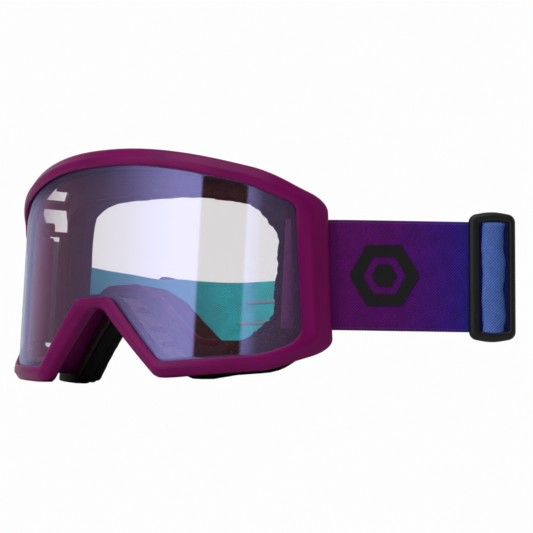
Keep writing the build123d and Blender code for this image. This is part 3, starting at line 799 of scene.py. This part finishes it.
# The nose arch: a thick rim along the lower edge of the window.
nose_edge = [p for p in moved_out(window_ring, 0.9) if abs(p.x) < 46 and p.y < -3]
nose_edge.sort(key=lambda p: p.x)
rim = tube("nose_rim", [(p.x, face_y(p.x, 16.3) + p.y * LEAN, p.y) for p in nose_edge], 1.5, 1.3,
           INNER)
finish_piece(rim, "frame", "frame_plastic", "inner_frame")
for name, side in (("left", -1), ("right", 1)):
    edge_top = [p for p in window_ring if -0.01 <= p.x * side < 52 and p.y < -3]
    edge_top.sort(key=lambda p: p.x * side)
    wall_inside = [p for p in moved_out(wall_ring, -1.5) if p.x * side >= -0.01 and p.y < -3]
    wall_inside.sort(key=lambda p: p.x * side)
    low_x = np.array([p.x * side for p in wall_inside])
    low_z = np.array([p.y for p in wall_inside])
    rows, columns = 8, []
    for p in edge_top:
        reach = p.x * side
        foot_x = max(reach - 9.5 * smooth(reach, 0, 14), 0.0)
        foot_z = float(np.interp(foot_x, low_x, low_z))
        column = []
        for k in range(rows + 1):
            t = k / rows
            x, z = side * (reach + (foot_x - reach) * t), p.y + (foot_z - p.y) * t
            bulge = 0.5 * sin(pi * t) ** 0.6
            column.append((x, face_y(x, 16.5 - bulge) + z * LEAN, z))
        columns.append(column)
    pad = from_rings(f"nose_pad_{name}_cover", columns, NOSE, sheet)
    thickened(pad, 0.8)
    finish_piece(pad, "frame", "nose_pad", f"nose_pad_{name}")


# ---- face foam ----
def wobble(index, amount, seed):
    """A repeatable small unevenness."""
    value = sin(index * 12.9898 + seed * 78.233) * 43758.5453
    return (value - int(value)) * amount


def foam_layer(name, node, front, rear, inset, slot_name, material, ragged):
    """A ring of foam with soft edges; the cut edge round the window is uneven."""
    outside = denser(moved_out(foam_rim, -inset))
    inside = denser(moved_out(foam_ring, inset / 2))
    section = [(0, 0.5), (0.015, 0.12), (0.05, 0), (0.95, 0), (0.985, 0.12), (1, 0.5)]
    section += [(1, (rear - front) / 2)]
    section += [(share, rear - front - depth) for share, depth in section[-2::-1]]
    section += [(0, (rear - front) / 2)]
    rings = []
    for i, (near, far) in enumerate(zip(inside, outside)):
        nick = (far - near).normalized()
        near = near - nick * (wobble(i, ragged, front) + wobble(i // 2, ragged * 0.5, rear))
        ring = []
        for k, (share, depth) in enumerate(section):
            p = near.lerp(far, share)
            y = face_y(p.x, front + depth) + wobble(i * 31 + k, 0.12, rear)
            ring.append((p.x, y + p.y * LEAN, max(p.y, REST_LEVEL)))
        rings.append(ring)
    piece = from_rings(name, rings, material)
    finish_piece(piece, "frame", slot_name, node)


foam_layer("foam_base_ring", "foam_base", 19.1, 25.5, 0.0, "face_foam", FOAM, 0.3)
foam_layer("foam_middle_ring", "foam_middle", 25.6, 29.6, 0.8, "face_foam", FOAM, 0.25)
foam_layer("fleece_ring", "foam_fleece", 29.7, 32.0, 1.6, "face_fleece", FLEECE, 0.1)

# Grained sheet on the inside of the nose arch, held by fingers that reach forwards over it.
# FINGERS_DOWN gives how far each finger is from the top of the arch.
ARCH_TOP, FINGERS_DOWN, FINGER_WIDTH = Vector((7.5, -12.0)), (0.6, 9.6, 18.6, 27.6), 1.3


def off_place(i, side, down):
    """How far an arch point is from the place of a finger; the far side counts as far off."""
    here = Vector((arch[i].x * side, arch[i].y))
    return abs((here - ARCH_TOP).length - down) + (40 if here.x < ARCH_TOP.x - 0.5 else 0)


arch = [p for p in moved_out(wall_ring, -2.5) if abs(p.x) < 32.5 and -39 < p.y < -6]
arch.sort(key=lambda p: p.x)
# The sheet's pale colour is painted light; its grain is real.
nose_sheet = from_rings("nose_arch_sheet", [depth_column(p, 5.9, 16.8) for p in arch], PAINTED_LIGHT_ARCH, sheet)
thickened(nose_sheet, 0.5)
finish_piece(nose_sheet, "frame", "nose_pad", "nose_pad_left", "nose_pad_right")
for side in (-1, 1):
    for number, down in enumerate(FINGERS_DOWN):
        index = min(range(1, len(arch) - 1), key=lambda i: off_place(i, side, down))
        here, heading = arch[index], (arch[index + 1] - arch[index - 1]).normalized()
        inwards = Vector((-heading.y, heading.x))
        front, rear = lens_y(here.x, -5.9), face_y(here.x, 16.6)
        rings = []
        for k in range(9):
            y = front + (rear - front) * (0.2 + 0.8 * k / 8)
            swell = (0.45, 0.85, 1.0)[min(k, 2)]
            ring = []
            for j in range(12):
                a = 2 * pi * j / 12
                q = here + heading * FINGER_WIDTH * swell * cos(a)
                q += inwards * (0.7 + 0.9 * swell * sin(a))
                ring.append((q.x, y + q.y * LEAN, q.y))
            rings.append(ring)
        finger = from_rings(f"nose_finger_{number}_{'l' if side < 0 else 'r'}", rings, INNER,
                            capped)
        finish_piece(finger, "frame", "frame_plastic", "inner_frame")

# Vent foam behind the wall's openings, above the brow and below the cheeks.
for name, test in (("vent_foam_top", lambda p: abs(p.x) < 42.5 and p.y > 30),
                   ("vent_foam_left", lambda p: -66 < p.x < -35 and p.y < -32),
                   ("vent_foam_right", lambda p: 35 < p.x < 66 and p.y < -32)):
    strip = [p for p in moved_out(wall_ring, -3.2) if test(p)]
    strip.sort(key=lambda p: p.x)
    rings = [[(x, y, z + wobble(i * 17 + k, 0.25, 3))
              for k, (x, y, z) in enumerate(depth_column(p, 6.2, 16.8))]
             for i, p in enumerate(denser(strip, closed=False))]
    foam_strip = from_rings(name + "_strip", rings, VENT_FOAM, sheet)
    thickened(foam_strip, 1.9)
    finish_piece(foam_strip, "frame", "vent_foam", name)

# ---- CAD nodes that keep their own shape ----
KEPT = {"lens_gasket": GASKET, "strap_post_left": INNER, "strap_post_right": INNER,
        "strap_badge": BADGE}
for node, material in KEPT.items():
    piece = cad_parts[node]
    piece.data.materials.clear()
    piece.data.materials.append(material)
badge_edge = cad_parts["strap_badge"].modifiers.new("soft", "BEVEL")
badge_edge.width, badge_edge.segments = 0.12 * MM, 2


# ---- strap ----
U = Vector((cos(STRAP_TURN), sin(STRAP_TURN)))
N = Vector((sin(STRAP_TURN), -cos(STRAP_TURN)))
BEHIND_FRAME, RIGHT_CORNER = (20.0, 116.5), (-24.0, 159.0)
RISE_START, RISE_END, RISE_END_DROP, LEVEL_AGAIN = -45.0, 20.0, 1.5, 60.0
BACK_TILT = radians(28)  # the slack back band leans out at its top
SIDE_TWIST, SIDE_RISE = radians(22), 5.3   # and the left run leans further beside the face
BEHIND_RISE = 0.068      # rise of the returning run for each millimetre behind the front run
FRONT_LEVEL, FRONT_FALL, FRONT_FALL_START = 0.25, 0.0134, 97.0   # the front run's slight fall
BAND_RISE, LOW_BACK_RISE, BACK_RISE = 0.5, 1.6, 4.0    # rises of the slack band
ROLL_RADIUS, FRONT_RUN_START = 2.45, 86.0
LEFT_RUN_START, LEFT_SLIDER = Vector((-87.2, 86.0)), Vector((-84.8, 149.8))
LEFT_TURNS = [(-84.4, 159.0, 9), (-86.8, 92.0, 60), (-86.2, 71.0, 30)]
LEAVES_LEFT_ROLL = (-80.2, 50.6)


def along_strap(distance, depth):
    return U * distance + N * depth


def strap_route():
    """The webbing's plan route from the right post's roll to the left post's."""
    route = []
    for k in range(25):
        angle = radians(20 + 250 * k / 24)
        route.append(POST + (U * cos(angle) + N * sin(angle)) * ROLL_RADIUS)
    route += [along_strap(FRONT_RUN_START + (FOLD_AT - FRONT_RUN_START) * k / 60, STRAP_DEPTH)
              for k in range(61)]
    middle = (STRAP_DEPTH + RETURN_DEPTH) / 2
    radius = (STRAP_DEPTH - RETURN_DEPTH) / 2
    for k in range(1, 12):
        angle = pi * k / 12
        route.append(along_strap(FOLD_AT + radius * sin(angle), middle + radius * cos(angle)))
    left_post = Vector((-POST.x, POST.y))
    turns = [(*along_strap(FOLD_AT, RETURN_DEPTH), 0),
             (*along_strap(RETURN_TURN, RETURN_DEPTH), 8), (*BEHIND_FRAME, 70),
             (*RIGHT_CORNER, 30), *LEFT_TURNS, (*LEAVES_LEFT_ROLL, 16),
             (left_post.x - 3.6, left_post.y + 3.8, 0)]
    route += rounded(turns, 12, 14, closed=False)
    leave = Vector(LEAVES_LEFT_ROLL) - left_post
    heading = atan2(leave.y, leave.x)
    for k in range(25):
        angle = heading + radians(40 + 250 * k / 24)
        route.append(left_post + Vector((cos(angle), sin(angle))) * ROLL_RADIUS)
    return route


def resampled(points, spacing):
    """Evenly spaced points along a polyline, and each one's distance from its start."""
    flat = np.array([(p.x, p.y) for p in points])
    keep = np.r_[True, np.hypot(*np.diff(flat, axis=0).T) > 1e-6]
    flat = flat[keep]
    lengths = np.r_[0, np.cumsum(np.hypot(*np.diff(flat, axis=0).T))]
    stations = np.linspace(0, lengths[-1], int(lengths[-1] / spacing) + 1)
    return np.c_[np.interp(stations, lengths, flat[:, 0]),
                 np.interp(stations, lengths, flat[:, 1])], stations


def back_level(x, y):
    """How far the band has fallen on its way round the back."""
    if x <= RISE_START:
        return -DROOP * max(y - DROOP_START, 0)
    fallen = -DROOP * (RIGHT_CORNER[1] - DROOP_START)
    if x <= RISE_END:
        t = (x - RISE_START) / (RISE_END - RISE_START)
        return fallen + (-RISE_END_DROP - fallen) * t
    return -RISE_END_DROP * max(1 - (x - RISE_END) / (LEVEL_AGAIN - RISE_END), 0)


route, stations = resampled(strap_route(), 0.8)
half = STRAP_THICKNESS / 2
section = [(1, -STRAP_WIDTH / 2 + 0.5 + (STRAP_WIDTH - 1) * k / 22) for k in range(23)]
section += [(0.55, STRAP_WIDTH / 2), (-0.55, STRAP_WIDTH / 2)]
section += [(-a, -b) for a, b in section[:23]]
section += [(-0.55, -STRAP_WIDTH / 2), (0.55, -STRAP_WIDTH / 2)]
tangents = np.gradient(route, axis=0)
tangents /= np.linalg.norm(tangents, axis=1)[:, None]
normals = np.c_[tangents[:, 1], -tangents[:, 0]]
fold_station = stations[np.argmax(route @ np.array(U))]
levels, tilts = [], []
for (x, y), distance in zip(route, stations):
    turned = distance > fold_station
    reach = x * U.x + y * U.y
    run = FRONT_LEVEL - FRONT_FALL * max(reach - FRONT_FALL_START, 0)
    tilt = 0.0
    if turned:
        slack = (1 - smooth(x, -26, 16)) * smooth(y, 54, 84)
        beside = smooth(y, 56, 90) * (1 - smooth(y, 102, 150)) if x < -60 else 0.0
        lift = LOW_BACK_RISE * smooth(y, 88, 128) * slack + SIDE_RISE * beside
        lift += BACK_RISE * (smooth(y, 130, 152) if x < -60 else 1.0)
        behind = STRAP_DEPTH - (x * N.x + y * N.y)
        on_right = smooth(x, 0, 45)
        run = ((back_level(x, y) + BAND_RISE + lift) * (1 - on_right)
               + (run + BEHIND_RISE * behind) * on_right)
        tilt = BACK_TILT * slack + SIDE_TWIST * beside
    levels.append(run)
    tilts.append(tilt)
blur = np.hanning(25) / np.hanning(25).sum()
levels = np.convolve(np.pad(levels, 12, mode="edge"), blur, mode="valid")
tilts = np.convolve(np.pad(tilts, 12, mode="edge"), blur, mode="valid")
rings, cloth = [], []
for (x, y), (nx, ny), distance, level, tilt in zip(route, normals, stations, levels, tilts):
    near_post = min(1.0, max(abs(y - POST.y) - 6, 0) / 20)
    ripple = 0.12 * sin(distance / 5.3) * sin(distance / 17.0) * near_post
    ring = []
    for side, height in section:
        z = STRAP_MIDDLE + level + height * cos(tilt)
        lean = (1 - near_post) * z * LEAN
        out = half * side + height * sin(tilt) + ripple * sin(height / 4.0)
        ring.append((x + nx * out, y + ny * out + lean, z))
        cloth.append((distance, height, side))
    rings.append(ring)
webbing = from_rings("strap_webbing", rings, WEBBING, capped)
store_cloth(webbing, cloth)
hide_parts("strap_end_left", "strap_end_right", "strap_root_left", "strap_root_right",
            "strap_front_right", "strap_return_right", "strap_back", "strap_front_left")
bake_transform(webbing)

# Silicone lines on the inner face of the back band.
GRIP_LINES, GRIP_WIDTH, GRIP_PITCH = 3, 2.0, 11.0
GRIP_LEFT_END, GRIP_RIGHT_END = -72, 151         # the least x and the least y along the lines
on_back = [i for i in range(len(route)) if stations[i] > fold_station
           and route[i][1] > GRIP_RIGHT_END and route[i][0] > GRIP_LEFT_END]
for line in range(GRIP_LINES):
    middle = (line - (GRIP_LINES - 1) / 2) * GRIP_PITCH
    rings = []
    for i in on_back:
        (x, y), (nx, ny), tilt = route[i], normals[i], tilts[i]
        ends = min(1.0, 0.3 + 0.2 * min(i - on_back[0], on_back[-1] - i))
        ring = []
        for k in range(10):
            height = middle + GRIP_WIDTH / 2 * ends * cos(2 * pi * k / 10)
            out = -half - 0.12 + 0.35 * sin(2 * pi * k / 10) + height * sin(tilt)
            ring.append((x + nx * out, y + ny * out, STRAP_MIDDLE + levels[i]
                         + height * cos(tilt)))
        rings.append(ring)
    grip = from_rings(f"grip_line_{line}", rings, GRIP, capped)
    finish_piece(grip, "strap", "grip", "grip_strips")

# ---- sliders ----
SLIDER_OUTSIDE = [(9.5, 24.9, 3.4), (9.5, -24.2, 3.4), (0, -25.9, 22), (-9.1, -24.2, 3.4),
                  (-9.1, 24.9, 3.4), (0, 26.6, 22)]
SLIDER_INSIDE = [(6.8, 22.0, 1.0), (6.8, -21.3, 1.0), (1.0, -21.7, 30), (-4.9, -21.3, 1.0),
                 (-4.9, 22.0, 1.0), (1.0, 22.4, 30)]
SLIDER_SECTION = [(0.0, 0.3), (0.0, 2.0), (0.06, 2.5), (0.2, 2.85), (0.45, 2.95), (0.6, 2.85),
                  (0.8, 2.45), (0.93, 1.95), (1.0, 1.3), (1.0, 0.5), (0.94, 0.05), (0.1, 0.0)]
SLIDER_GAP = 0.35


def make_slider(name, body, base, direction, outward):
    """A moulded ring, its centre bar, and the sewn loop of webbing round that bar."""
    upward = direction.cross(outward).normalized()
    if upward.z < 0:
        upward = -upward
    lift = STRAP_THICKNESS / 2 + SLIDER_GAP

    def at(u, v, w):
        return tuple(base + direction * u + upward * v + outward * w)

    inside, outside = rounded(SLIDER_INSIDE, 8, 10), rounded(SLIDER_OUTSIDE, 8, 10)
    rings = [[at(*near.lerp(far, share), lift + w) for share, w in SLIDER_SECTION]
             for near, far in zip(inside, outside)]
    ring = from_rings(f"{name}_ring", rings, SLIDER_BLACK)
    finish_piece(ring, body, "slider", f"slider_{name}")
    bar_rings = []
    for k in range(13):
        v = -23.0 + 46.0 * k / 12
        bar_rings.append([at(0.6 + 1.5 * cos(2 * pi * j / 12), v,
                             lift + 1.25 + 0.8 * sin(2 * pi * j / 12)) for j in range(12)])
    bar = from_rings(f"{name}_bar", bar_rings, SLIDER_BLACK, capped)
    finish_piece(bar, body, "slider", f"slider_{name}")
    loop_rings, cloth = [], []
    rows = 60
    for k in range(rows + 1):
        v = -22.1 + 44.2 * k / rows
        left_edge = -3.9 + 0.22 * sin(v * 0.31 + 1.0) + 0.1 * sin(v * 0.9)
        right_edge = 5.1 + 0.4 * sin(v * 0.33) + 0.15 * sin(v * 0.83 + 2.0)
        taper = 1 - 0.3 * smooth(abs(v), 21.2, 22.1)
        loop = []
        for j in range(25):
            t = j / 24
            u = left_edge + (right_edge - left_edge) * (0.5 - 0.5 * cos(pi * t))
            swell = (1 - (2 * (u - left_edge) / (right_edge - left_edge) - 1) ** 2) ** 0.5
            pucker = 0.14 * sin(v * 0.62 + 3 * t) * sin(pi * t)
            w = lift + 1.0 + (2.3 * swell + pucker) * taper
            loop.append(at(u, v, w))
            cloth.append((u, v, t))
        loop += [at(right_edge - 0.8, v, lift + 0.55), at(left_edge + 0.8, v, lift + 0.55)]
        cloth += [(right_edge, v, 1.0), (left_edge, v, 0.0)]
        loop_rings.append(loop)
    hump = from_rings(f"{name}_loop", loop_rings, LOOP, capped)
    store_cloth(hump, cloth)
    finish_piece(hump, body, "strap", f"slider_loop_{name}")


SLIDER_DROP = 0.9
LEFT_SLIDER_SHORT, LEFT_SLIDER_RISE = 9.6, 3.2   # short of the run's end, and above the CAD's
right_base = along_strap(SLIDER_AT, STRAP_DEPTH)
make_slider("right", "right_slider", Vector((*right_base, STRAP_MIDDLE - SLIDER_DROP)),
            Vector((U.x, U.y, 0)), Vector((N.x, N.y, 0)))
left_run = (LEFT_SLIDER - LEFT_RUN_START).normalized()
left_slide = Vector((left_run.x, left_run.y, -DROOP * left_run.y)).normalized()
left_middle = LEFT_SLIDER - left_run * LEFT_SLIDER_SHORT
left_base = Vector((left_middle.x, left_middle.y,
                    STRAP_MIDDLE - SLIDER_DROP - DROOP * (left_middle.y - DROOP_START)
                    + LEFT_SLIDER_RISE))
left_out = Vector((-left_run.y, left_run.x, 0))
left_out = Matrix.Rotation(-BACK_TILT, 3, left_slide) @ left_out
make_slider("left", "left_slider", left_base, left_slide, left_out)

# ---- floor ----
bpy.ops.mesh.primitive_plane_add(size=6, location=(0, 0, -0.0004))
floor = bpy.context.object
floor.name = "floor"
pale = Shader("pale_floor", Base_Color=(0.86, 0.86, 0.86, 1), Roughness=0.7)
clear = pale.node("BsdfTransparent")
facing = pale.node("NewGeometry")
chosen = pale.node("MixShader", links={0: facing.outputs["Backfacing"],
                                       1: pale.main.outputs[0], 2: clear.outputs[0]})
pale.tree.links.new(chosen.outputs[0], pale.end.inputs["Surface"])
floor.data.materials.append(pale.material)
floor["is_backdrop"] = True

low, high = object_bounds()
